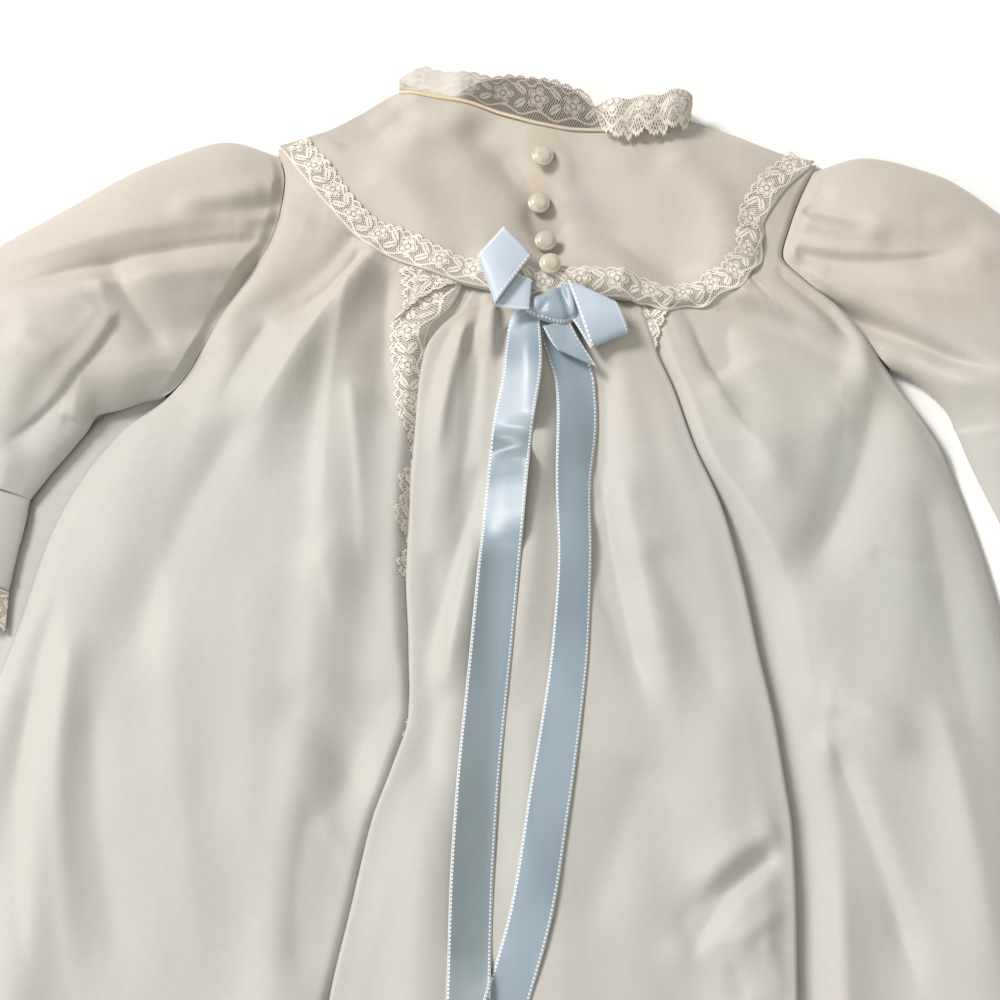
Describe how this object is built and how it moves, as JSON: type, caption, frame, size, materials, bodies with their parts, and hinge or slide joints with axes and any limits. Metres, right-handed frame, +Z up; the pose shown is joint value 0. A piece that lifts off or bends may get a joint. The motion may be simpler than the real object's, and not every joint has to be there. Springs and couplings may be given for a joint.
{
  "type": "christening gown",
  "caption": "Long ivory baby christening gown laid flat, with puffed sleeves, round yoke, lace trim, pearl buttons and a light blue ribbon bow.",
  "frame": {"origin": "middle of the gown's outline, on the surface that it lies on", "axes": "+Y from the hem to the neck, +Z up out of the gown's front, +X towards the sleeve on the viewer's right"},
  "size_m": [0.5216, 0.7278, 0.0246],
  "materials": {
    "cloth": "satin",
    "lace": "matte",
    "pearl": "gloss",
    "ribbon": "satin"
  },
  "bodies": {
    "root": {"back_skirt": "cloth", "back_yoke": "cloth", "yoke_front": "cloth", "skirt_front_left": "cloth", "skirt_front_center": "cloth", "skirt_front_right": "cloth", "sleeve_left": "cloth", "sleeve_right": "cloth", "cuff_left": "cloth", "cuff_right": "cloth", "cuff_lace_left": "lace", "cuff_lace_right": "lace", "neck_lace": "lace", "yoke_lace": "lace", "robing_lace_left": "lace", "robing_lace_right": "lace", "button_1": "pearl", "button_2": "pearl", "button_3": "pearl", "button_4": "pearl", "bow_knot": "ribbon", "bow_wing_left": "ribbon", "bow_wing_right": "ribbon", "ribbon_tail_left": "ribbon", "ribbon_tail_right": "ribbon"}
  },
  "joints": []
}
